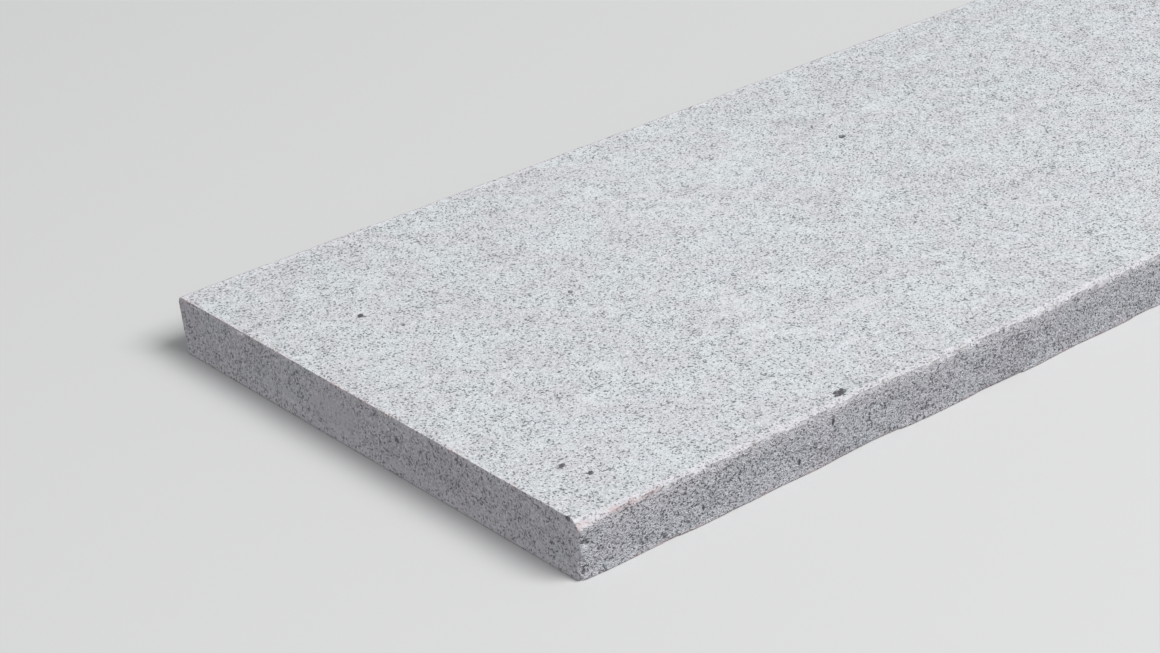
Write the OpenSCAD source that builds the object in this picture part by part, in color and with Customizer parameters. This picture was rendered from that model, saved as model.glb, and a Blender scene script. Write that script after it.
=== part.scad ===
// Coping stone: one flat granite slab that caps a wall. Millimetres.
// The slab lies on its bed. X runs along it, Y across it, with the front at -Y, and Z up from the bed.
// The top is flat, both ends are sawn square, and both long sides are dressed by hand.

/* [Slab] */
// Length of the slab, from end to end
slab_l = 1000; // [300:10:2400]
// Width of the slab, from front to back
slab_w = 300; // [150:5:600]
// Thickness of the slab, from bed to top
slab_t = 30; // [20:1:80]

/* [Arrises] */
// Width that the broken arris takes off the top along each long side
arris_w = 4.0; // [1:0.2:8]
// Height that the broken arris takes off each long side
arris_drop = 3.6; // [1:0.2:8]
// Flats that round off one broken arris
arris_flats = 4; // [1:1:8]
// Wear along the lower arris of each long side
foot_wear = 0.8; // [0.2:0.1:3]
// Wear along the sawn arrises of each end
end_wear = 0.4; // [0.2:0.1:2]

/* [Dressed sides] */
// How far the back side leans in at the bed
back_lean = 5.2; // [0:0.2:12]
// Depth of the deepest hollow that the dressing leaves in the front
front_hollow = 1.6; // [0.2:0.1:3]
// Depth of the deepest hollow in the back, which is dressed straighter
back_hollow = 0.4; // [0.2:0.1:3]
// Pitch of the long hollows along a side
hollow_pitch = 198; // [60:1:300]
// Pitch of the short hollows between them
chop_pitch = 69; // [20:1:90]
// Length of one straight chisel flat
chisel_flat = 10; // [5:1:25]

/* [Corner chip] */
// Length of the chip at the front corner, along the front arris
chip_l = 24; // [8:1:60]
// Width of the chip across the top
chip_w = 6.6; // [5:0.2:20]
// Height of the chip down the corner
chip_drop = 5.8; // [5:0.2:15]

/* [Hidden] */

// Share of the short hollows in the dressing, next to the long ones
chop_share = 0.4;
// The dressing's crests would stand this far past the straight side, in hollow depths, and are cut flat
crest = 0.25;
// Where the dressing of each side starts in its wave, in degrees
front_turn = 40;
back_turn = 160;

side_h = slab_t - arris_drop;
lean_angle = atan(back_lean / side_h);
flats = ceil(slab_l / chisel_flat) + 2;
// Reach of a cutting block, enough to hold the slab when the block is turned
reach = 2 * (slab_w + slab_t);

// The dressing at a distance x along the stone: 0 at the straight side, down to minus the depth in a hollow
function dressing(x, turn, depth) =
    let (wave = (1 - chop_share) * sin(360 * x / hollow_pitch + turn)
            + chop_share * sin(360 * x / chop_pitch + 2 * turn))
    depth * (wave * (1 + crest) - 1 + crest) / 2;

// The rounded top arris of one side, from the top down, where side is 1 at the back and -1 at the front
function arris(side) = [
    for (i = [0:arris_flats])
        let (a = 90 * i / arris_flats)
        [side * (slab_w / 2 - arris_w * (1 - sin(a))), side_h + arris_drop * cos(a)]
];

// The worn lower arris of one side, from the side down to the bed, on a side that leans in by lean
function foot(side, lean) = [
    [side * (slab_w / 2 - lean * (side_h - foot_wear) / side_h), foot_wear],
    [side * (slab_w / 2 - lean - foot_wear), 0]
];

function reversed(points) = [for (i = [len(points) - 1:-1:0]) points[i]];

// The slab's section across its length, as a bar
module section_bar() {
    back = concat(arris(1), foot(1, back_lean));
    front = concat(arris(-1), foot(-1, 0));
    translate([-slab_l, 0, 0])
        rotate([90, 0, 90])
            linear_extrude(height = 2 * slab_l)
                polygon(concat(back, reversed(front)));
}

// The slab's outline from the front, with its two sawn ends, as a bar across it
module sawn_ends() {
    l = slab_l / 2;
    rotate([90, 0, 0])
        linear_extrude(height = 2 * slab_w, center = true)
            polygon([
                [l - end_wear, 0], [l, end_wear], [l, slab_t - end_wear], [l - end_wear, slab_t],
                [end_wear - l, slab_t], [-l, slab_t - end_wear], [-l, end_wear], [end_wear - l, 0]
            ]);
}

// A block whose +Y face is dressed by hand. It turns in under the arris by angle and holds the whole slab.
module dressed_block(angle, turn, depth) {
    outline = [
        for (i = [0:flats])
            let (x = (i - flats / 2) * chisel_flat)
            [x, dressing(x, turn, depth)]
    ];
    half_l = flats / 2 * chisel_flat;
    translate([0, slab_w / 2, side_h])
        rotate([-angle, 0, 0])
            linear_extrude(height = 2 * reach, center = true)
                polygon(concat(outline, [[half_l, -reach], [-half_l, -reach]]));
}

// What the chip takes off the front corner: all that lies past a plane across its three edges
module corner_chip() {
    normal = [-1 / chip_l, -1 / chip_w, 1 / chip_drop];
    size = 4 * max(chip_l, chip_w, chip_drop);
    translate([chip_l - slab_l / 2, -slab_w / 2, slab_t])
        rotate(a = acos(normal.z / norm(normal)), v = cross([0, 0, 1], normal))
            translate([0, 0, size / 2])
                cube(size, center = true);
}

module coping_stone() {
    color("#cdd0d3")
        difference() {
            intersection() {
                section_bar();
                sawn_ends();
                dressed_block(lean_angle, back_turn, back_hollow);
                rotate([0, 0, 180]) dressed_block(0, front_turn, front_hollow);
            }
            corner_chip();
        }
}

coping_stone();
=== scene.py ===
"""A granite coping stone on a pale floor.

The slab is one closed surface. A band of fine rows wraps its four sides and their arrises, and coarse panels
close its top and its bed. Each point starts on a sharp block and is then moved by the steps that make the real
stone: sawing, dressing, wear and chipping. The granite is worked out in the block's own space, so every face
cuts through one rock.
"""
import math

import bpy
import numpy as np
from bpy.props import FloatProperty, FloatVectorProperty, PointerProperty
from mathutils import Matrix, Vector


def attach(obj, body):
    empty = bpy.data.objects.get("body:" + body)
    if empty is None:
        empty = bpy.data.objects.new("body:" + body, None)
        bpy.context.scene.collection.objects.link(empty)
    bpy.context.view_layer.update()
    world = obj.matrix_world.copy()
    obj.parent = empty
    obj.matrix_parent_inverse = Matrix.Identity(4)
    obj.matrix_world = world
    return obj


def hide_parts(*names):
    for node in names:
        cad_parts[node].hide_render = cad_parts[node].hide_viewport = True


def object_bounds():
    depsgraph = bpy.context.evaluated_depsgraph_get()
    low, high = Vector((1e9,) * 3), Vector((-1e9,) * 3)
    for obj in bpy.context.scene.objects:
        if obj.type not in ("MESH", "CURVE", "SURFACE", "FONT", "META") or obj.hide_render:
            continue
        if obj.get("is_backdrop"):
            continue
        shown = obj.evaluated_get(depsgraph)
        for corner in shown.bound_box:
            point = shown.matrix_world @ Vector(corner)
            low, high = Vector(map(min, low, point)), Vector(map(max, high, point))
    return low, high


bl_info = {
    "name": "Coping Stone",
    "version": (1, 0, 0),
    "blender": (4, 5, 0),
    "location": "View3D > Sidebar > Coping Stone",
    "description": "Makes a granite coping slab with sawn ends and hand-dressed sides, on a plain stage",
    "category": "Add Mesh",
}

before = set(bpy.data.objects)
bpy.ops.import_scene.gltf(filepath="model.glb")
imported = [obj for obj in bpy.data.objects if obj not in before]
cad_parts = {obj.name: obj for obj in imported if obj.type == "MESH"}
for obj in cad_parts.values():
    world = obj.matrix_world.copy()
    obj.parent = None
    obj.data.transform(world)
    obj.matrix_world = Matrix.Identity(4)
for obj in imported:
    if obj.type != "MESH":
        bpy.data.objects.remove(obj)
CAD_LO, CAD_HI = (np.array(corner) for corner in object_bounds())

MM = 0.001
HALF_L, HALF_W, THICK = (CAD_HI - CAD_LO) * (0.5, 0.5, 1.0)

# The band's fine steps come in whole modules, so that both panels can share its stations.
MODULE = 30
FINE_STEP = 1.25 * MM
# Fine steps in one step of each panel.
TOP_PANEL_STEP = 5
BED_PANEL_STEP = 30
# How much finer the steps get towards -X and the front, and coarser away from them.
CROWDING = np.array([0.40, 0.25])

# Where the band's rows lie, as distances from the edge that they run beside.
TOP_ROWS = np.array([7.0, 5.0, 3.6, 2.5, 1.6, 0.9, 0.35]) * MM
FOOT_ROWS = np.array([2.6, 1.4, 0.6, 0.2]) * MM
BED_ROWS = np.array([0.4, 1.4, 4.0]) * MM
SIDE_ROW_STEP = 1.3 * MM
# Edges sharper than this are shaded as edges.
SHARP_ANGLE = math.radians(40)

# Where the dressing of each side starts in its wave, in degrees.
FRONT_TURN = 40
BACK_TURN = 160
# The chisel's rough break as (size in millimetres, share) of each of its noises.
BREAK_SIZES = ((13, 0.24), (5.2, 0.30), (2.9, 0.28), (1.7, 0.18))
# How far the two long sides are drawn apart in their noise: along the arrises, and over the faces.
SIDES_APART = 0.3
FACES_APART = 0.5

# Marks of this stone, in millimetres from the top's front corner at -X: X along the front, Y back, Z up.
CORNER = np.array([-HALF_L, -HALF_W, THICK])
# Corner chips as (length along the front, width across the top, height down the corner).
CORNER_CHIPS = (
    (24.0, 6.6, 5.8),
    (16.0, 2.2, 15.0),
)
# Flakes off the front's top arris as (middle along the front, half length, width).
TOP_FLAKES = (
    (81, 9, 2.6),
    (123, 12, 2.8),
    (151, 8, 1.8),
    (177, 7, 2.4),
    (201, 9, 3.2),
    (225, 8, 1.2),
    (269, 8, 3.6),
    (312, 8, 3.4),
    (325, 6, 2.0),
    (371, 8, 2.6),
)
# Flakes off the front's foot as (start and end along the front, height, depth). Each breaks off at its end.
FOOT_FLAKES = (
    (48, 60, 4, 0.5),
    (84, 104, 4, 0.4),
    (146, 205, 7, 0.7),
    (250, 290, 6, 0.8),
    (371, 391, 5, 0.5),
)
# Pits as (place, radius, depth).
PITS = (
    ((2.4, 1.0, -10.8), 2.8, 1.5),
    ((4.4, 0.8, -12.0), 2.4, 1.0),
    ((1.0, 0.8, -14.0), 1.8, 0.5),
    ((1.0, 0.6, -20.0), 2.0, 0.5),
    ((1.9, 0.4, -25.4), 2.2, 0.9),
    ((0.0, 9.0, -0.5), 2.2, 0.8),
    ((0.0, 139.0, 0.0), 2.2, 0.6),
    ((0.0, 52.0, 0.0), 2.4, 0.6),
)
# Clots and weaker spots of dark mica, and dark spots in pits that are partly mica and partly painted shade, as
# (place, size along X, Y and Z, turn about Z in degrees, strength).
CLOTS_AND_PIT_SHADE = (
    ((168.4, 8.1, 0.0), (9.4, 5.0, 2.0), 10, 1.0),
    ((27.8, 44.2, 0.0), (4.8, 2.4, 2.0), 30, 0.95),
    ((32.9, 31.0, 0.0), (4.8, 3.2, 2.0), 10, 1.0),
    ((53.0, 221.5, 0.0), (5.0, 3.8, 2.0), 40, 1.0),
    ((62.3, 199.8, 0.0), (2.8, 2.0, 2.0), 40, 0.85),
    ((145.5, 171.6, 0.0), (3.4, 2.4, 2.0), 40, 0.95),
    ((379.3, 212.0, 0.0), (5.2, 3.6, 2.0), 40, 1.0),
    ((376.5, 242.3, 0.0), (36.0, 7.0, 2.0), -38, 0.14),
    # In a pit: dark mica, and painted shade darker than the dent gives.
    ((0.5, 9.0, -1.2), (4.0, 3.2, 2.0), 0, 0.9),
    ((0.0, 127.9, -11.2), (3.0, 3.2, 2.4), 0, 0.85),
    # The next three lie in pits: dark mica, and painted shade darker than the dents give.
    ((2.4, 1.0, -10.6), (4.4, 6.0, 2.6), 0, 0.85),
    ((4.4, 1.0, -12.0), (3.2, 6.0, 2.0), 0, 0.75),
    ((2.0, 1.0, -25.4), (2.4, 6.0, 2.2), 0, 0.8),
    ((73.5, 1.0, -21.0), (1.6, 6.0, 3.4), 0, 0.95),
    ((135.2, 1.0, -21.6), (2.2, 6.0, 3.4), 0, 1.0),
    ((50.7, 1.0, -26.5), (3.0, 6.0, 2.8), 0, 0.95),
    ((156.8, 1.0, -7.6), (2.2, 6.0, 4.8), 0, 0.95),
    ((172.0, 1.0, -4.6), (2.6, 6.0, 2.0), 0, 0.6),
    ((234.8, 1.0, -18.6), (2.6, 6.0, 2.6), 0, 0.75),
)
# Pale crushed spots and pale clouds in the top, given in the same way.
PALE_SPOTS = (
    ((1.4, 1.4, -5.4), (3.0, 6.0, 2.6), 0, 0.9),
    ((2.4, 1.4, -15.8), (5.5, 6.0, 7.5), 0, 0.9),
    ((2.8, 1.4, -29.0), (5.0, 6.0, 4.0), 0, 0.9),
    ((4.0, 1.4, -1.6), (9.0, 6.0, 4.0), 0, 0.5),
    ((466.4, 166.2, 0.0), (8.0, 7.0, 2.0), 0, 0.6),
    ((195.8, 103.6, 0.0), (20.0, 17.0, 2.0), 0, 0.65),
    ((186.8, 78.8, 0.0), (26.0, 18.0, 2.0), 0, 0.40),
    ((76.5, 80.8, 0.0), (13.0, 13.0, 2.0), 0, 0.55),
    ((106.3, 100.7, 0.0), (12.0, 9.0, 2.0), 0, 0.55),
    ((81.5, 44.0, 0.0), (13.0, 8.0, 2.0), 0, 0.50),
    ((206.8, 58.9, 0.0), (16.0, 12.0, 2.0), 0, 0.45),
    ((241.5, 63.9, 0.0), (22.0, 16.0, 2.0), 0, 0.40),
    ((82.5, 242.8, 0.0), (20.0, 14.0, 2.0), 0, 0.40),
    ((251.5, 229.9, 0.0), (14.0, 18.0, 2.0), 0, 0.50),
    ((293.3, 247.8, 0.0), (16.0, 12.0, 2.0), 0, 0.40),
    ((420.4, 227.9, 0.0), (18.0, 14.0, 2.0), 0, 0.60),
    ((407.6, 150.4, 0.0), (18.0, 12.0, 2.0), 0, 0.50),
    ((265.0, 225.0, 0.0), (170.0, 130.0, 2.0), 0, 0.25),
)
# Smears of dried saw slurry on the end, given in the same way.
SMEARS = (
    ((0.0, 216.9, -20.3), (4.0, 34.0, 3.0), 0, 0.6),
    ((0.0, 124.6, -25.0), (4.0, 26.0, 4.4), 0, 0.6),
    ((0.0, 174.3, -17.0), (4.0, 34.0, 16.0), 0, 0.6),
)


class SlabShape(bpy.types.PropertyGroup):
    """Sizes of the sawing, the dressing and the wear."""

    arris_w: FloatProperty(
        name="Arris width", description="How much the broken arris takes off the top", default=4.0 * MM,
        unit="LENGTH")
    arris_drop: FloatProperty(
        name="Arris drop", description="How much the broken arris takes off the side", default=3.6 * MM,
        unit="LENGTH")
    foot_wear: FloatProperty(
        name="Foot wear", description="Wear along the lower arrises", default=0.8 * MM, unit="LENGTH")
    end_wear: FloatProperty(
        name="End wear", description="Wear along the sawn arrises", default=0.4 * MM, unit="LENGTH")
    back_lean: FloatProperty(
        name="Back lean", description="How far the back leans in at the bed", default=5.2 * MM, unit="LENGTH")
    front_hollow: FloatProperty(
        name="Front hollows", description="Depth of the deepest dressed hollow in the front", default=1.6 * MM,
        unit="LENGTH")
    back_hollow: FloatProperty(
        name="Back hollows", description="Depth of the deepest dressed hollow in the back", default=0.4 * MM,
        unit="LENGTH")
    hollow_pitch: FloatProperty(
        name="Hollow pitch", description="Pitch of the long hollows", default=198 * MM, unit="LENGTH")
    chop_pitch: FloatProperty(
        name="Chop pitch", description="Pitch of the short hollows", default=69 * MM, unit="LENGTH")
    hackle: FloatProperty(
        name="Hackle", description="Depth of the rough break left by the chisel", default=0.8 * MM,
        unit="LENGTH")
    spall: FloatProperty(
        name="Spall", description="Width of the flakes broken off the top arrises", default=3.0 * MM,
        unit="LENGTH")


class Granite(bpy.types.PropertyGroup):
    """Colours and grain of the granite."""

    cool: FloatVectorProperty(
        name="Cool ground", description="Colour of the ground where it is cool", default=(0.641, 0.674, 0.692),
        subtype="COLOR")
    rosy: FloatVectorProperty(
        name="Rosy ground", description="Colour of the ground where it is rosy", default=(0.666, 0.666, 0.695),
        subtype="COLOR")
    sawn_tint: FloatVectorProperty(
        name="Sawn tint", description="Tint of a sawn face", default=(0.990, 0.953, 0.992), subtype="COLOR")
    dressed_tint: FloatVectorProperty(
        name="Dressed tint", description="Tint of a chiselled face", default=(0.984, 0.967, 1.0),
        subtype="COLOR")
    mica: FloatVectorProperty(
        name="Mica", description="Colour of the dark flakes", default=(0.074, 0.083, 0.100), subtype="COLOR")
    # This colour also paints shade in the pits by the corner.
    clot_and_pit_shade: FloatVectorProperty(
        name="Clot", description="Colour of the clots of mica", default=(0.098, 0.095, 0.106), subtype="COLOR")
    # This colour paints crushed grain, and also the painted highlight on the top's front arris and the painted
    # bounce light along the feet.
    crush_and_painted_light_colour: FloatVectorProperty(
        name="Bruise", description="Colour of crushed grain along an arris", default=(0.87, 0.84, 0.875),
        subtype="COLOR")
    stain: FloatVectorProperty(
        name="Stain", description="Colour of the rusty tint on the arris", default=(0.62, 0.38, 0.38),
        subtype="COLOR")
    speck_size: FloatProperty(
        name="Speck size", description="Spacing of the dark specks", default=1.15 * MM, unit="LENGTH")
    crystal_size: FloatProperty(
        name="Crystal size", description="Spacing of the grey crystals", default=2.3 * MM, unit="LENGTH")


class Stage(bpy.types.PropertyGroup):
    """Floor, lights and camera."""

    floor_shown: FloatProperty(
        name="Floor tone", description="Tone of the floor as it is seen", default=0.67, subtype="FACTOR")
    floor_bounce: FloatProperty(
        name="Floor bounce", description="Tone of the floor as it lights the stone", default=0.14,
        subtype="FACTOR")
    sky: FloatProperty(
        name="Sky", description="Strength of the even light from all round", default=0.32)
    key_power: FloatProperty(
        name="Key light", description="Power of the soft light above the front", default=244.0, unit="POWER")
    fill_power: FloatProperty(
        name="Fill light", description="Power of the weak light on the end", default=23.0, unit="POWER")
    lens: FloatProperty(
        name="Lens", description="Focal length of the camera", default=101.02, unit="CAMERA")


# ---------------------------------------------------------------- noise

HASH_FACTORS = np.array([73856093, 19349663, 83492791], dtype=np.uint64)
HASH_MIX = np.uint64(2654435761)
HASH_BITS = np.uint64(0xFFFFFFFF)
HASH_SHIFT = np.uint64(15)
# Where the lattice starts, in cells, so that no cell under the stone has a number below 0.
LATTICE_START = 1000.0


class Seed:
    """Seeds of the noise. A rough break takes four in a row, and the next chip's start chip_step further on."""

    saw_wave = 11
    rim_crumbs = 12
    rim_dips = 13
    bites = 14
    rim_reach = 15
    hackle = 21
    wander = 31
    fine_wander = 32
    flakes = 33
    foot = 34
    edge_dips = 35
    short_nicks = 36
    long_nicks = 37
    broad_scales = 51
    small_scales = 52
    chip = 61
    chip_step = 10
    pit_rim = 71
    band = 81
    rust_patches = 82
    rust_foot = 83
    crushed_foot = 84
    band_reach = 85
    rust_rim = 86
    band_patches = 87


def lattice_value(cell, seed):
    """A fixed random number from -1 to 1 for each whole-numbered lattice point, from an integer hash."""
    mixed = (cell.astype(np.int64).astype(np.uint64) * HASH_FACTORS).sum(axis=1) + np.uint64(seed) * HASH_MIX
    for _ in range(2):
        mixed = (mixed & HASH_BITS) * HASH_MIX & HASH_BITS
        mixed ^= mixed >> HASH_SHIFT
    return mixed / float(HASH_BITS) * 2 - 1


def noise(points, size, seed):
    """Smooth noise from -1 to 1: the lattice's random numbers, joined along each axis by 3t^2 - 2t^3."""
    place = points / size + LATTICE_START
    cell = np.floor(place)
    t = place - cell
    t = t * t * (3 - 2 * t)
    total = np.zeros(len(points))
    for corner in np.ndindex(2, 2, 2):
        weight = np.prod(np.where(corner, t, 1 - t), axis=1)
        total += weight * lattice_value(cell + corner, seed)
    return total


def fade(value, start, end):
    """0 up to start, 1 from end on, and 3t^2 - 2t^3 between them. Start may lie past end."""
    t = np.clip((value - start) / (end - start), 0, 1)
    return t * t * (3 - 2 * t)


# ---------------------------------------------------------------- the sharp block


def side_rows():
    """Inset and height of each row of the band, from the top panel's edge down to the bed panel's."""
    free = THICK - TOP_ROWS[1] - FOOT_ROWS[0]
    count = max(2, round(free / SIDE_ROW_STEP))
    middle = np.linspace(THICK - TOP_ROWS[1], FOOT_ROWS[0], count + 1)
    heights = np.concatenate([THICK - TOP_ROWS[:1:-1], middle, FOOT_ROWS[1:]])
    inset = np.concatenate([TOP_ROWS, [0], np.zeros(len(heights)), [0], BED_ROWS])
    height = np.concatenate([np.full(len(TOP_ROWS) + 1, THICK), heights, np.zeros(len(BED_ROWS) + 1)])
    return inset, height


def round_the_block(steps_long, steps_short):
    """Stations round a square that runs from -1 to 1, anticlockwise from its front left corner."""
    along = np.linspace(-1, 1, steps_long, endpoint=False)
    across = np.linspace(-1, 1, steps_short, endpoint=False)
    u = np.concatenate([along, np.ones(steps_short), -along, -np.ones(steps_short)])
    v = np.concatenate([-np.ones(steps_long), across, np.ones(steps_long), -across])
    return u, v


def panel(inset, height, cells_long, cells_short, first):
    """A flat grid at an inset and height: its points, its faces seen from above, and its rim, anticlockwise."""
    x = np.linspace(-1, 1, cells_long + 1) * (HALF_L - inset)
    y = np.linspace(-1, 1, cells_short + 1) * (HALF_W - inset)
    grid = np.stack(np.meshgrid(x, y, [height], indexing="ij"), axis=-1).reshape(-1, 3)
    index = first + np.arange(len(grid)).reshape(cells_long + 1, cells_short + 1)
    faces = np.stack([index[:-1, :-1], index[1:, :-1], index[1:, 1:], index[:-1, 1:]], axis=-1).reshape(-1, 4)
    rim = np.concatenate([index[:-1, 0], index[-1, :-1], index[:0:-1, -1], index[0, :0:-1]])
    return grid, faces, rim


def strip(ring, rim, step):
    """Faces between a ring of fine stations and a panel's rim, with step fine edges outside and 1 inside."""
    starts = np.arange(0, len(ring), step)
    outer = ring[(starts[:, None] + np.arange(step + 1)) % len(ring)]
    inner = np.stack([np.roll(rim, -1), rim], axis=1)
    return np.hstack([outer, inner])


def crowd(points):
    """Draws the points together towards -X and the front: x + c (x^2 - h^2) / 2h on a slab of half length h."""
    half = np.array([HALF_L, HALF_W])
    flat = points[:, :2]
    return np.hstack([flat + CROWDING * (flat ** 2 - half ** 2) / (2 * half), points[:, 2:]])


def block_surface():
    """Points and faces of the sharp block: the band round its sides, its top panel and its bed panel."""
    steps_long = MODULE * max(1, round(2 * HALF_L / (MODULE * FINE_STEP)))
    steps_short = MODULE * max(1, round(2 * HALF_W / (MODULE * FINE_STEP)))
    u, v = round_the_block(steps_long, steps_short)
    inset, height = side_rows()
    band = np.stack(np.broadcast_arrays(
        u * (HALF_L - inset[:, None]), v * (HALF_W - inset[:, None]), height[:, None]), axis=-1)
    index = np.arange(len(inset) * len(u)).reshape(len(inset), len(u))
    right = np.roll(index, -1, axis=1)
    quads = np.stack([index[1:], right[1:], right[:-1], index[:-1]], axis=-1).reshape(-1, 4)

    top_inset = inset[0] + TOP_PANEL_STEP * FINE_STEP
    bed_inset = inset[-1] + BED_PANEL_STEP * FINE_STEP / 2
    top, top_faces, top_rim = panel(
        top_inset, THICK, steps_long // TOP_PANEL_STEP, steps_short // TOP_PANEL_STEP, index.size)
    bed, bed_faces, bed_rim = panel(
        bed_inset, 0, steps_long // BED_PANEL_STEP, steps_short // BED_PANEL_STEP, index.size + len(top))
    top_strip = strip(index[0], top_rim, TOP_PANEL_STEP)
    bed_strip = strip(index[-1], bed_rim, BED_PANEL_STEP)
    points = crowd(np.concatenate([band.reshape(-1, 3), top, bed]))
    return points, [quads, top_strip, top_faces, bed_strip[:, ::-1], bed_faces[:, ::-1]]


# ---------------------------------------------------------------- making the stone


def round_edge(a, b, radius_a, radius_b, power=2.0):
    """Rounds the edge where the depths a and b are both 0.

    With p and q the shares (radius - depth) / radius, both are multiplied by
    max(p, q) / (p^power + q^power)^(1/power). Power 2 gives an ellipse's quarter, power 1 a flat chamfer.
    """
    p = 1 - a / radius_a
    q = 1 - b / radius_b
    inside = (p > 0) & (q > 0)
    safe_p = np.where(inside, p, 1)
    safe_q = np.where(inside, q, 1)
    pull = np.maximum(safe_p, safe_q) / (safe_p ** power + safe_q ** power) ** (1 / power)
    return (np.where(inside, radius_a * (1 - p * pull), a),
            np.where(inside, radius_b * (1 - q * pull), b))


def dressing(x, turn, depth, shape):
    """Depth of the dressed hollows at x.

    Two sine waves run along the stone, and their crests are cut flat at the straight side.
    """
    chop_share, crest = 0.4, 0.25
    long_wave = np.sin(2 * np.pi * x / shape.hollow_pitch + math.radians(turn))
    short_wave = np.sin(2 * np.pi * x / shape.chop_pitch + 2 * math.radians(turn))
    wave = (1 - chop_share) * long_wave + chop_share * short_wave
    return np.maximum(0, -depth * (wave * (1 + crest) - 1 + crest) / 2)


def rough_break(points, seed):
    """A rough break from 0 to 1: half of 1 + the sum of share x noise over four sizes."""
    total = 0.5
    for step, (size, share) in enumerate(BREAK_SIZES):
        total = total + 0.5 * share * noise(points, size * MM, seed + step)
    return total


def along_arris(home):
    """Each point slid onto a line along its own side, so that noise varies only along the arris."""
    return np.stack([home[:, 0], SIDES_APART * np.sign(home[:, 1]), np.zeros(len(home))], axis=1)


def draw_apart(home):
    """The points with the two long sides moved away from each other, so that each breaks in its own way."""
    return home + np.sign(home[:, 1])[:, None] * (0, FACES_APART, 0)


def arris_flakes(home, shape):
    """Extra width of the broken top arris at each point.

    On the front near -X each named flake adds width x (1 - (distance / half length)^2)^2. The rest of the
    front has flakes where noise along the arris is high, and the back has the same, only far smaller.
    """
    along = home[:, 0] + HALF_L
    named = np.zeros(len(home))
    for middle, half_length, width in np.array(TOP_FLAKES) * MM:
        bump = np.clip(1 - ((along - middle) / half_length) ** 2, 0, 1) ** 2
        named = np.maximum(named, width * bump)
    last = (TOP_FLAKES[-1][0] + 2 * TOP_FLAKES[-1][1]) * MM
    chance = shape.spall * fade(noise(along_arris(home), 11 * MM, Seed.flakes), 0.15, 0.85)
    return np.where(home[:, 1] < 0, np.where(along > last, chance, named), 0.12 * chance)


def wear_ends(home, shape):
    """The sawn ends: the saw's slight wave, a small round along every arris, and grains lost along the rim.

    The top arris loses crumbs and dips where two noises are high. Both reach in by 1 to 3 mm and are weaker
    next to the back. The upright arrises lose bites in the same way, mostly at the front.
    """
    x, y, z = home.T
    a = HALF_L - np.abs(x)
    below = THICK - z
    saw_wave = 0.08 * MM * (1 + noise(home * (1, 1, 0.3), 38 * MM, Seed.saw_wave))
    reach = (2.0 + 1.0 * noise(home, 3.5 * MM, Seed.rim_reach)) * MM
    near_top = fade(below, 2.4 * MM, 0.4 * MM) * fade(a, reach, 0.2 * reach)
    crumbs = 0.5 * MM * fade(noise(home, 2.3 * MM, Seed.rim_crumbs), 0.0, 0.8)
    dips = 1.1 * MM * fade(noise(home, 9 * MM, Seed.rim_dips), 0.1, 0.9)
    lost = (crumbs + dips) * (0.2 + 0.8 * fade(HALF_W - y, 6 * MM, 22 * MM))

    wear = shape.end_wear
    a, below = round_edge(a, below, wear, wear)
    a, z = round_edge(a, THICK - below, wear, wear)
    a, across = round_edge(a, HALF_W - np.abs(y), wear, wear)

    upright = fade(np.hypot(HALF_L - np.abs(x), HALF_W - np.abs(y)), 3.5 * MM, 0)
    bite = np.where(y < 0, 1.3, 0.3) * MM * fade(noise(home, 3.2 * MM, Seed.bites), -0.1, 0.8) * upright
    across = across + bite
    a = a + saw_wave * fade(a, 5 * MM, 0) + lost * near_top + 0.5 * bite
    z = np.clip(z - 1.1 * lost * near_top, 0, THICK)
    return np.stack([np.sign(x) * (HALF_L - a), np.sign(y) * (HALF_W - across), z], axis=1)


def broken_arris(home, shape):
    """Width and drop of the broken top arris at each point.

    On the back both are a share of the shape's sizes, which wanders a little. On the front only the width has
    such a share, which is smaller, wanders more and is calm next to the corner chip. Flakes and the front's
    nicks add to both. A nick is where noise along the arris stands above 0.3.
    """
    line = along_arris(home)
    at_front = home[:, 1] < 0
    along = home[:, 0] + HALF_L
    flake = arris_flakes(home, shape)
    wander = 0.7 * noise(line, 6.5 * MM, Seed.wander) + 0.5 * noise(line, 2.8 * MM, Seed.fine_wander)
    chip = CORNER_CHIPS[0][0] * MM
    calm = np.where(at_front, 0.25 + 0.75 * fade(along, chip, 2.6 * chip), 1)
    share = np.where(at_front, (0.40 + 0.18 * wander) * calm, 0.62 + 0.08 * wander)
    nick = 4.2 * MM * np.maximum(noise(line, 2.0 * MM, Seed.short_nicks) - 0.3, 0) * at_front
    nick = nick + 2.4 * MM * np.maximum(noise(line, 5.2 * MM, Seed.long_nicks) - 0.3, 0) * at_front
    width = share * shape.arris_w + np.where(at_front, 0.6, 1) * (flake + nick)
    drop = np.where(at_front, 0, share * shape.arris_drop) + nick + np.where(at_front, 0.08, 0.5) * flake
    return width, np.maximum(drop, 0.06 * MM)


def dressed_depth(x, home, shape):
    """How deep the dressing goes in at each point: hollows, the chisel's rough break, and flakes at the foot.

    The rough break is calmer next to the arrises and on the back. A foot flake is depth x run x
    (1 - height above the bed / its height)^2, where run grows from its start and drops off at its end.
    """
    at_front = home[:, 1] < 0
    along = home[:, 0] + HALF_L
    hollow = np.where(
        at_front,
        dressing(-x, FRONT_TURN, shape.front_hollow, shape),
        dressing(x, BACK_TURN, shape.back_hollow, shape))
    top_calm = fade(THICK - home[:, 2], 0, 5 * MM)
    foot_calm = fade(home[:, 2], 0, 5 * MM)
    front_calm = 0.4 + 0.6 * np.minimum(0.6 + top_calm, foot_calm).clip(0, 1)
    calm = np.where(at_front, front_calm, 0.4 * top_calm)
    hackle = shape.hackle * rough_break(draw_apart(home), Seed.hackle) * calm
    foot_flake = np.zeros(len(home))
    for start, end, height, depth in np.array(FOOT_FLAKES) * MM:
        run = fade(along, start, start + 0.3 * (end - start)) * fade(along, end, end - 2.4 * MM)
        foot_flake += depth * run * np.clip(1 - home[:, 2] / height, 0, 1) ** 2
    return hollow + hackle + np.where(at_front, foot_flake, 0)


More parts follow.
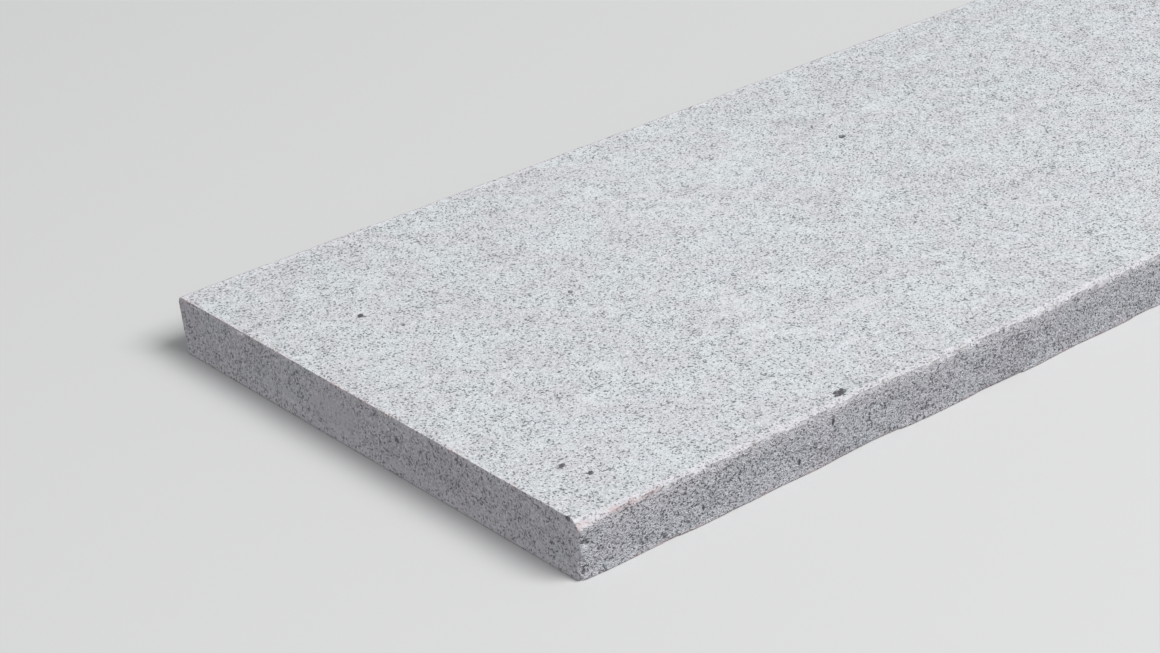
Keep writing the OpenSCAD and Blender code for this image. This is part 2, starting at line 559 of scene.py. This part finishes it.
def dress_sides(points, home, shape):
    """The long sides: broken arrises, worn feet, the back's lean and the dressing, which fades out 12 mm in.

    The front's top arris is rounded nearly flat, and the skin along both top arrises dips by up to 0.08 mm.
    """
    x, y, z = points.T
    side = np.sign(home[:, 1])
    at_front = side < 0
    width, drop = broken_arris(home, shape)
    a, below = round_edge(HALF_W - np.abs(y), THICK - z, width, drop, np.where(at_front, 1.3, 2.0))
    foot = shape.foot_wear * (1 + 0.5 * noise(along_arris(home), 5 * MM, Seed.foot))
    foot = foot * np.where(at_front, 0.4, 1)
    a, z = round_edge(a, THICK - below, foot, foot)

    side_h = THICK - shape.arris_drop
    lean = shape.back_lean * np.clip((side_h - z) / side_h, 0, 1) * fade(a, 40 * MM, 0)
    near_side = fade(HALF_W - np.abs(home[:, 1]), 12 * MM, 0)
    a = a + np.where(at_front, 0, lean) + dressed_depth(x, home, shape) * near_side

    edge = fade(np.hypot(HALF_W - np.abs(home[:, 1]), THICK - home[:, 2]), 6 * MM, 2 * MM)
    z = z - 0.04 * MM * edge * (1 + noise(draw_apart(home), 2.4 * MM, Seed.edge_dips))
    return np.stack([x, side * (HALF_W - a), np.clip(z, 0, THICK)], axis=1)


def flame_top(points, home):
    """The flamed top: shallow scales at two sizes where the heat lifted the skin, weaker along the sides."""
    inward = 0.3 + 0.7 * fade(HALF_W - np.abs(home[:, 1]), 1 * MM, 9 * MM)
    on_top = fade(home[:, 2], THICK - 1 * MM, THICK) * inward
    broad = 0.16 * MM * (1 + noise(points, 34 * MM, Seed.broad_scales)) / 2
    small = 0.10 * MM * (1 + noise(points, 13 * MM, Seed.small_scales)) / 2
    scales = broad + small
    return points - np.stack([0 * scales, 0 * scales, scales * on_top], axis=1)


def break_corner(points, home):
    """The chipped front corner: what lies past a plane across the corner's three edges moves back onto it.

    Returns the points and how much of the skin each has lost, from 0 to 1.
    """
    moved = points.copy()
    lost = np.zeros(len(points))
    for number, (along, across, down) in enumerate(np.array(CORNER_CHIPS) * MM):
        normal = np.array([-1 / along, -1 / across, 1 / down])
        normal /= np.linalg.norm(normal)
        past = (moved - CORNER - (along, 0, 0)) @ normal
        rough = 0.5 * MM * rough_break(home, Seed.chip + Seed.chip_step * number)
        cut = np.maximum(past, 0) + rough * fade(past, -0.6 * MM, 0.6 * MM)
        moved -= cut[:, None] * normal
        lost = np.maximum(lost, fade(past, -0.2 * MM, 1.0 * MM))
    return moved, lost


def pit(points):
    """Pits: dents pushed towards the heart of the stone by depth x (1 - (distance / radius)^2)^2.

    Noise makes their rims ragged. Returns the points and how deep in a pit each lies, from 0 to 1.
    """
    heart = np.array([-HALF_L / 2, 0, THICK / 2])
    lost = np.zeros(len(points))
    for place, radius, depth in PITS:
        centre = CORNER + np.array(place) * MM
        reach = np.linalg.norm(points - centre, axis=1) / (radius * MM)
        ragged = 0.8 + 0.3 * noise(points, 1.8 * MM, Seed.pit_rim)
        dent = np.clip(1 - reach * reach * ragged, 0, 1) ** 2
        inward = np.sign(heart - centre) * (1, 1, 0.6)
        points = points + (depth * MM * dent)[:, None] * inward / np.linalg.norm(inward)
        lost = np.maximum(lost, dent)
    return points, lost


def crushed_band_and_painted_highlight(home, flake):
    """The pale band along the top arrises, from 0 to 1: crushed grain, and on the top also a painted highlight
    where the broken arris would turn to the light.

    On the top it is a strip 4 mm wide, weaker next to the arris. On the front it is torn into patches by noise,
    and fades out about 12 mm down.
    """
    from_side = HALF_W - np.abs(home[:, 1])
    below = THICK - home[:, 2]
    line = home * (1, 0, 0)
    from_arris = from_side - 0.3 * flake
    # On the top the band is partly a painted highlight, standing in for the broken arris's slope that faces the
    # light.
    on_top = fade(from_arris, 4.9 * MM, 3.6 * MM) * (0.70 - 0.50 * fade(from_arris, 3.4 * MM, 0.9 * MM))
    on_top = on_top * fade(below, 0.6 * MM, 0.1 * MM)
    reach = (12 + 2.4 * noise(line, 6 * MM, Seed.band_reach)) * MM + flake
    torn = 0.34 + 0.60 * fade(noise(home * (1, 0, 1), 3.2 * MM, Seed.band_patches), -0.2, 0.35)
    on_side = torn * fade(below, reach, 0.2 * reach) * (0.3 + 0.7 * fade(below, 0.5 * MM, 3 * MM))
    on_side = on_side * fade(from_side, 1.0 * MM, 0.2 * MM) * (home[:, 1] < 0)
    return np.maximum(on_top, on_side) * (0.78 + 0.22 * noise(line, 9 * MM, Seed.band))


def rust(home, rim, rim_top):
    """Where rust tints the stone, from 0 to 1: the strongest of five stains.

    The main one runs 50 mm along the front's top arris from the corner, as a bell curve over its height. The
    corner has one of its own, the feet have a narrow one, and the whole arris and the ends' rims faint ones.
    """
    from_side = HALF_W - np.abs(home[:, 1])
    below = THICK - home[:, 2]
    along = home[:, 0] + HALF_L
    at_front = home[:, 1] < 0
    patch = 0.34 + 0.28 * fade(noise(home * (1, 0, 0.5), 4.5 * MM, Seed.rust_patches), -0.25, 0.25)
    run = fade(along, 50 * MM, 45 * MM) * (0.75 + 0.25 * fade(along, 17 * MM, 21 * MM))
    level = np.exp(-((below - 0.8 * MM) / (2.2 * MM)) ** 2) * fade(from_side, 2.6 * MM, 0.4 * MM)
    on_arris = np.where(at_front, run * level * patch, 0)

    level = np.exp(-((below - 4.0 * MM) / (2.6 * MM)) ** 2)
    near_side = fade(from_side, 6 * MM, 2 * MM) * np.where(from_side > 0, 0.45, 0.25)
    on_corner = fade(along, 2.5 * MM, 0) * level * near_side
    on_edge = 0.12 * fade(np.maximum(from_side - 0.5 * MM, 0) + below, 3 * MM, 0.5 * MM) * at_front
    on_foot = 0.5 * fade(noise(home, 9 * MM, Seed.rust_foot), -0.2, 0.4) * fade(home[:, 2], 2.0 * MM, 0.5 * MM)
    on_foot = on_foot * fade(from_side, 1 * MM, 0)
    on_rim = fade(noise(home, 7 * MM, Seed.rust_rim), -0.4, 0.5) * (0.8 * rim + 0.2 * rim_top)
    return np.maximum.reduce([on_arris, on_corner, on_edge, on_foot, on_rim])


def surface_maps(home, flake, chipped, pitted):
    """Maps from 0 to 1 of where a face is sawn or dressed, where it is made pale by crushed grain and painted
    light, and where rust stains it.

    The ends and the bed are sawn. The pale map is the strongest of the band, the feet, the ends' rims, the
    chipped corner and the upright arrises, and there is less of it in a pit. On the top's front arris it is
    partly a painted highlight, along the front foot partly painted bounce light, and in the ends' lowest 12 mm
    only painted bounce light.
    """
    from_side = HALF_W - np.abs(home[:, 1])
    from_end = HALF_L - np.abs(home[:, 0])
    below = THICK - home[:, 2]
    end = fade(from_end, 0.3 * MM, 0) * fade(below, 0.2 * MM, 0.6 * MM)
    bed = fade(home[:, 2], 0.2 * MM, 0) * fade(np.minimum(from_side, from_end), 0, 0.4 * MM)
    dressed = fade(from_side, 0.9 * MM, 0.1 * MM) * (1 - end) * fade(below, 0.8 * MM, 3.2 * MM)

    # The feet: pale crushed grain, and partly painted bounce light that lifts the shade next to the floor.
    foot = 0.28 * fade(home[:, 2], 3.0 * MM, 1.0 * MM) * fade(from_side, 1 * MM, 0)
    foot = foot * (1 + 0.4 * noise(home * (1, 0, 0), 8 * MM, Seed.crushed_foot))
    # The ends' lowest 12 mm: painted bounce light that evens out the shade next to the floor.
    foot = np.maximum(foot, 0.4 * end * fade(home[:, 2], 12 * MM, 1 * MM))
    rim_top = fade(from_end, 2.2 * MM, 0.8 * MM) * fade(below, 0.6 * MM, 0.1 * MM)
    rim_end = fade(from_end, 0.6 * MM, 0.1 * MM) * fade(below, 3.0 * MM, 0.5 * MM)
    rim = np.maximum(0.12 * rim_top, 0.3 * rim_end)
    upright = fade(from_end + 1.5 * from_side, 5 * MM, 1 * MM) * fade(below, 9 * MM, 12 * MM) * (1 - end)
    # The band is crushed grain, and on the top partly a painted highlight.
    band = crushed_band_and_painted_highlight(home, flake)
    crush_and_painted_light = np.maximum.reduce([band, foot, rim, 0.36 * chipped, 0.3 * upright])
    crush_and_painted_light = np.clip(crush_and_painted_light * (1 - 0.6 * pitted), 0, 1)
    return {
        "sawn": np.maximum(end, bed),
        "dressed": dressed,
        "crush_and_painted_light": crush_and_painted_light,
        "stained": rust(home, rim, rim_top),
    }


def make_slab_points(home, shape):
    """Carries the block's points through the making of the stone. Returns them with their finish's maps."""
    points = wear_ends(home, shape)
    points = dress_sides(points, home, shape)
    points = flame_top(points, home)
    points, chipped = break_corner(points, home)
    points, pitted = pit(points)
    return points, surface_maps(home, arris_flakes(home, shape), chipped, pitted)


def build_mesh(name, points, faces, maps):
    """Puts points, faces of any number of corners, and per-point maps into a mesh that is shaded smooth."""
    mesh = bpy.data.meshes.new(name)
    sizes = np.concatenate([np.full(len(group), group.shape[1]) for group in faces])
    corners = np.concatenate([group.ravel() for group in faces])
    mesh.vertices.add(len(points))
    mesh.vertices.foreach_set("co", points.astype(np.float32).ravel())
    mesh.loops.add(len(corners))
    mesh.loops.foreach_set("vertex_index", corners.astype(np.int32))
    mesh.polygons.add(len(sizes))
    mesh.polygons.foreach_set("loop_start", (np.cumsum(sizes) - sizes).astype(np.int32))
    mesh.polygons.foreach_set("use_smooth", np.ones(len(sizes), dtype=bool))
    mesh.update(calc_edges=True)
    for key, values in maps.items():
        mesh.attributes.new(key, "FLOAT", "POINT").data.foreach_set("value", values.astype(np.float32))
    mesh.set_sharp_from_angle(angle=SHARP_ANGLE)
    mesh.validate()
    return mesh


# ---------------------------------------------------------------- shader expressions


class Wire:
    """A shader socket that stands in a Python expression. Each operator adds its Math node."""

    def __init__(self, graph, socket):
        self.graph = graph
        self.socket = socket

    def math(self, operation, a, b):
        return self.graph.node("ShaderNodeMath", {"operation": operation}, {0: a, 1: b})

    def __add__(self, other):
        return self.math("ADD", self, other)

    def __radd__(self, other):
        return self.math("ADD", other, self)

    def __sub__(self, other):
        return self.math("SUBTRACT", self, other)

    def __rsub__(self, other):
        return self.math("SUBTRACT", other, self)

    def __mul__(self, other):
        return self.math("MULTIPLY", self, other)

    def __rmul__(self, other):
        return self.math("MULTIPLY", other, self)

    def at_least(self, other):
        return self.math("MAXIMUM", self, other)

    def ramp(self, start, end, low=0.0, high=1.0):
        """Goes smoothly from low to high as this value goes from start to end."""
        settings = {"interpolation_type": "SMOOTHSTEP"}
        values = {"Value": self, "From Min": start, "From Max": end, "To Min": low, "To Max": high}
        return self.graph.node("ShaderNodeMapRange", settings, values)


class Graph:
    """A material's nodes."""

    def __init__(self, name):
        self.material = bpy.data.materials.new(name)
        self.material.use_nodes = True
        self.tree = self.material.node_tree
        self.tree.nodes.clear()

    def node(self, kind, settings=None, values=None, output=0):
        """Adds a node: its settings first, then the value or wire of each named or numbered socket."""
        made = self.tree.nodes.new(kind)
        for key, setting in (settings or {}).items():
            setattr(made, key, setting)
        for key, value in (values or {}).items():
            if isinstance(value, Wire):
                self.tree.links.new(value.socket, made.inputs[key])
            else:
                made.inputs[key].default_value = value
        return Wire(self, made.outputs[output]) if made.outputs else None

    def also(self, wire, output):
        """Another output of the node that a wire comes from."""
        return Wire(self, wire.socket.node.outputs[output])

    def mix(self, factor, a, b):
        """The colour a, turning into the colour b as factor goes from 0 to 1."""
        color_a, color_b, result = 6, 7, 2
        values = {0: factor, color_a: paint(a), color_b: paint(b)}
        return self.node("ShaderNodeMix", {"data_type": "RGBA"}, values, result)

    def scale(self, vector, factor):
        return self.node("ShaderNodeVectorMath", {"operation": "SCALE"}, {0: vector, "Scale": factor})

    def vector(self, operation, a, b):
        return self.node("ShaderNodeVectorMath", {"operation": operation}, {0: a, 1: b})

    def noise(self, place, size, detail=2.0, roughness=0.5, output="Fac"):
        """Noise from 0 to 1, with lumps of the given size."""
        values = {"Vector": place, "Scale": 1 / size, "Detail": detail, "Roughness": roughness}
        return self.node("ShaderNodeTexNoise", {"noise_dimensions": "3D"}, values, output)

    def attribute(self, name):
        """One of the mesh's maps."""
        return self.node("ShaderNodeAttribute", {"attribute_name": name}, {}, "Fac")

    def finish(self, surface):
        self.node("ShaderNodeOutputMaterial", {}, {"Surface": surface})
        return self.material


def paint(color):
    """A colour as a socket takes it: a wire as it is, three numbers with a full alpha."""
    return color if isinstance(color, Wire) else (*color, 1.0)


# ---------------------------------------------------------------- granite


def oval_mask(graph, place, ovals, grain, lobes, edge):
    """The strongest of a list of ragged ovals, each strength inside and 0 outside.

    Noise of the size grain moves their outlines by lobes, and they fade over edge, both in shares of a radius.
    """
    ragged = (graph.noise(place, grain, 2.0, 0.6) - 0.5) * lobes
    mask = None
    for centre, size, turn, strength in ovals:
        local = graph.node("ShaderNodeMapping", {"vector_type": "TEXTURE"}, {
            "Vector": place,
            "Location": CORNER + np.array(centre) * MM,
            "Rotation": (0, 0, math.radians(turn)),
            "Scale": np.array(size) / 2 * MM,
        })
        reach = graph.node("ShaderNodeVectorMath", {"operation": "LENGTH"}, {0: local}, "Value")
        oval = (reach + ragged).ramp(1 + edge / 2, 1 - edge / 2, 0.0, strength)
        mask = oval if mask is None else mask.at_least(oval)
    return mask


def granite_material(look):
    """Light grey granite: a ground of cool and rosy clouds, grey crystals, painted glints, clusters of dark
    specks, and clots, with painted shade in the pits.

    Tone is worked out as one number that scales the ground, so a speck keeps the ground's tint. Its parts are
    the grain, which is stronger on dressed and sawn faces and weaker under the pale crushed grain and painted
    light, and a slow drift.
    """
    graph = Graph("granite")
    place = graph.node("ShaderNodeTexCoord", {}, {}, "Object")
    sawn = graph.attribute("sawn")
    dressed = graph.attribute("dressed")
    crush_and_painted_light = graph.attribute("crush_and_painted_light")
    stained = graph.attribute("stained")
    # The crystals' places are bent a little, so that their outlines are angular.
    wobble = graph.scale(graph.noise(place, 0.9 * MM, 1.0, 0.5, "Color"), 0.8 * MM)
    bent = graph.vector("ADD", place, wobble)

    # The rock's parts, from the coarse to the fine, and painted glints among them.
    cloud = graph.noise(place, 30 * MM, 3.0, 0.6)
    cluster = graph.noise(place, 7 * MM, 2.0, 0.6)
    crystal = graph.noise(bent, look.crystal_size, 1.5, 0.6)
    medium = graph.noise(bent, 1.25 * MM, 1.0)
    speckle = graph.noise(bent, look.speck_size, 1.0, 0.5)
    fine = graph.noise(place, 0.75 * MM, 2.0, 0.7)
    # Painted glints: bright flecks in the colour that stand for light caught by crystal faces.
    painted_glint = graph.noise(place, 1.1 * MM, 1.0).ramp(0.54, 0.70)
    grey = crystal.ramp(0.46, 0.62)
    speck = (speckle + (cluster - 0.5) * 0.22 + dressed * 0.01).ramp(0.565, 0.68)

    # Marks, and how clear of them the rock is: marks hide the grain and the specks.
    smear = oval_mask(graph, place, SMEARS, 4 * MM, 2.4, 0.8)
    pale = oval_mask(graph, place, PALE_SPOTS, 4 * MM, 2.4, 1.2)
    # Dark clots of mica, and painted shade in the pits by the corner.
    clot_and_pit_shade = oval_mask(graph, place, CLOTS_AND_PIT_SHADE, 1.6 * MM, 1.8, 0.3)
    # Pale patches of crushed grain, partly a painted highlight on the top's front arris and painted bounce
    # light along the feet.
    crush_and_painted_light_patches = crush_and_painted_light * graph.noise(place, 2.4 * MM, 2.0).ramp(0.22, 0.52)
    rusty = stained * graph.noise(place, 1.6 * MM, 2.0).ramp(0.34, 0.54)
    clear = (1 - crush_and_painted_light_patches * 0.35) * (1 - smear) * (1 - pale * 0.7)

    # Tone. The top is a little duller in a strip along the front.
    grain = (fine - 0.5) * 1.15 + (medium - 0.5) * 0.5 + painted_glint * 0.12 - grey * 0.13
    grain = grain * (1 + dressed * 0.5 + sawn * 0.3)
    across = graph.node("ShaderNodeSeparateXYZ", {}, {"Vector": place}, "Y")
    dulled = across.ramp(20 * MM - HALF_W, 8 * MM - HALF_W) * (1 - dressed) * (1 - sawn)
    drift = (cloud - 0.5) * 0.27 - (cluster - 0.5) * 0.24 + pale * 0.12 - dulled * 0.035
    tone = 1.0 + grain * clear + drift

    # Colour, from the ground up.
    ground = graph.mix(cloud.ramp(0.32, 0.68), look.rosy, look.cool)
    ground = graph.mix(sawn, ground, graph.vector("MULTIPLY", ground, look.sawn_tint))
    ground = graph.mix(dressed, ground, graph.vector("MULTIPLY", ground, look.dressed_tint))
    rock = graph.scale(ground, tone)
    # The pale colour: crushed grain, and painted highlight and bounce light.
    rock = graph.mix(crush_and_painted_light_patches * 0.95, rock, look.crush_and_painted_light_colour)
    rock = graph.mix(speck * clear * (0.76 + dressed * 0.06 + sawn * 0.08), rock, look.mica)
    rock = graph.mix(rusty * 0.8, rock, look.stain)
    # Mica clots, and painted shade in the pits.
    rock = graph.mix(clot_and_pit_shade * (1 - crystal.ramp(0.50, 0.66) * 0.45), rock, look.clot_and_pit_shade)

    # Relief and gloss: a sawn face is the smoothest, a dressed one the roughest, and mica shines the most.
    scales = graph.noise(place, 3.0 * MM, 3.0, 0.65)
    roughened = 1 + dressed * 2.0 + crush_and_painted_light * 0.8 - sawn * 0.85
    relief = (scales * 0.6 + fine * 0.5 - grey * 0.15 - speck * 0.15) * roughened
    bump = {"Strength": 1.0, "Distance": 0.40 * MM, "Height": relief}
    surface = graph.node("ShaderNodeBsdfPrincipled", {}, {
        "Base Color": rock,
        "Roughness": 0.86 - speck * 0.25 - sawn * 0.14 - grey * 0.08,
        "Normal": graph.node("ShaderNodeBump", {}, bump, "Normal"),
        "IOR": 1.45,
        "Specular IOR Level": 0.4,
    }, "BSDF")
    return graph.finish(surface)


class COPING_OT_slab(bpy.types.Operator):
    """Make the coping slab"""

    bl_idname = "coping.slab"
    bl_label = "Coping slab"
    bl_options = {"REGISTER", "UNDO"}

    def execute(self, context):
        home, faces = block_surface()
        points, maps = make_slab_points(home, context.scene.coping_shape)
        middle = np.array([(CAD_LO[0] + CAD_HI[0]) / 2, (CAD_LO[1] + CAD_HI[1]) / 2, CAD_LO[2]])
        points = np.clip(points + middle, CAD_LO, CAD_HI)
        mesh = build_mesh("granite_slab", points, faces, maps)
        mesh.materials.append(granite_material(context.scene.coping_granite))
        slab = bpy.data.objects.new("granite_slab", mesh)
        context.scene.collection.objects.link(slab)
        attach(slab, "root")
        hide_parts("coping_stone")
        return {"FINISHED"}


# ---------------------------------------------------------------- stage

# The camera's place from the top's front corner at -X, in slab widths, and the way that it looks.
CAMERA_PLACE = np.array([-2.676, -3.032, 2.4042])
CAMERA_HEADING = math.radians(41.442)
CAMERA_DIP = math.radians(27.253)
CAMERA_ROLL = math.radians(-0.576)
SENSOR = 36.0
# How far the floor reaches from the middle each way, and how far below the bed it lies.
FLOOR_REACH = 12.0
FLOOR_GAP = 0.1 * MM
SKY_TINT = (0.97, 0.985, 1.0, 1.0)


def floor_material(stage):
    """A matt floor that shows pale and lights the stone less than it shows."""
    graph = Graph("pale_floor")
    seen = graph.node("ShaderNodeLightPath", {}, {}, "Is Camera Ray")
    mirrored = graph.also(seen, "Is Glossy Ray")
    tone = graph.mix(seen.at_least(mirrored), [stage.floor_bounce] * 3, [stage.floor_shown] * 3)
    surface = graph.node("ShaderNodeBsdfDiffuse", {}, {"Color": tone}, "BSDF")
    return graph.finish(surface)


def look_along(heading, dip):
    """The way that a heading from +Y towards +X points, dipped below the horizon."""
    return Vector((math.cos(dip) * math.sin(heading), math.cos(dip) * math.cos(heading), -math.sin(dip)))


def aim(target, heading, dip, roll=0.0):
    """Turns a camera or lamp to look along a heading and dip, then rolls it."""
    ahead = look_along(heading, dip)
    right = Vector((math.cos(heading), -math.sin(heading), 0))
    up = right.cross(ahead)
    tilted_right = right * math.cos(roll) + up * math.sin(roll)
    tilted_up = up * math.cos(roll) - right * math.sin(roll)
    target.rotation_euler = Matrix((tilted_right, tilted_up, -ahead)).transposed().to_euler()


def add_lamp(scene, name, power, size, heading, dip, distance):
    """A square soft light that faces the middle of the slab from a distance, with its angles in degrees."""
    lamp = bpy.data.lights.new(name, "AREA")
    lamp.energy = power
    lamp.size = size
    light = bpy.data.objects.new(name, lamp)
    heading = math.radians(heading)
    dip = math.radians(dip)
    light.location = Vector((CAD_LO + CAD_HI) / 2) - look_along(heading, dip) * distance
    aim(light, heading, dip)
    scene.collection.objects.link(light)


class COPING_OT_stage(bpy.types.Operator):
    """Make the pale floor, the soft light and the camera"""

    bl_idname = "coping.stage"
    bl_label = "Stage"
    bl_options = {"REGISTER", "UNDO"}

    def execute(self, context):
        scene = context.scene
        stage = scene.coping_stage
        floor_z = CAD_LO[2] - FLOOR_GAP
        corners = ((-1, -1), (1, -1), (1, 1), (-1, 1))
        rim = [(x * FLOOR_REACH, y * FLOOR_REACH, floor_z) for x, y in corners]
        mesh = bpy.data.meshes.new("pale_floor")
        mesh.from_pydata(rim, [], [(0, 1, 2, 3)])
        mesh.materials.append(floor_material(stage))
        floor = bpy.data.objects.new("pale_floor", mesh)
        scene.collection.objects.link(floor)
        floor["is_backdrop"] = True

        scene.world = bpy.data.worlds.new("soft_sky")
        scene.world.use_nodes = True
        sky = scene.world.node_tree.nodes["Background"]
        sky.inputs["Color"].default_value = SKY_TINT
        sky.inputs["Strength"].default_value = stage.sky

        add_lamp(scene, "key_light", stage.key_power, size=3.0, heading=-22, dip=56, distance=5.0)
        add_lamp(scene, "fill_light", stage.fill_power, size=2.5, heading=80, dip=16, distance=4.0)

        width = CAD_HI[1] - CAD_LO[1]
        corner = np.array([CAD_LO[0], CAD_LO[1], CAD_HI[2]])
        camera = bpy.data.objects.new("camera", bpy.data.cameras.new("camera"))
        camera.data.lens = stage.lens
        camera.data.sensor_width = SENSOR
        camera.location = Vector(corner + CAMERA_PLACE * width)
        aim(camera, CAMERA_HEADING, CAMERA_DIP, CAMERA_ROLL)
        scene.collection.objects.link(camera)
        scene.camera = camera
        scene.view_settings.view_transform = "Standard"
        return {"FINISHED"}


class COPING_PT_panel(bpy.types.Panel):
    """Lists the coping stone's sizes, colours and makers"""

    bl_label = "Coping Stone"
    bl_space_type = "VIEW_3D"
    bl_region_type = "UI"
    bl_category = "Coping Stone"

    def draw(self, context):
        for group, operator in (
            (context.scene.coping_shape, "coping.slab"),
            (context.scene.coping_granite, "coping.slab"),
            (context.scene.coping_stage, "coping.stage"),
        ):
            box = self.layout.box()
            for key in group.__annotations__:
                box.prop(group, key)
            box.operator(operator)


CLASSES = (SlabShape, Granite, Stage, COPING_OT_slab, COPING_OT_stage, COPING_PT_panel)


def register():
    for each in CLASSES:
        bpy.utils.register_class(each)
    bpy.types.Scene.coping_shape = PointerProperty(type=SlabShape)
    bpy.types.Scene.coping_granite = PointerProperty(type=Granite)
    bpy.types.Scene.coping_stage = PointerProperty(type=Stage)


def unregister():
    del bpy.types.Scene.coping_stage
    del bpy.types.Scene.coping_granite
    del bpy.types.Scene.coping_shape
    for each in reversed(CLASSES):
        bpy.utils.unregister_class(each)


def main():
    register()
    bpy.ops.coping.slab()
    bpy.ops.coping.stage()


if __name__ == "__main__":
    main()
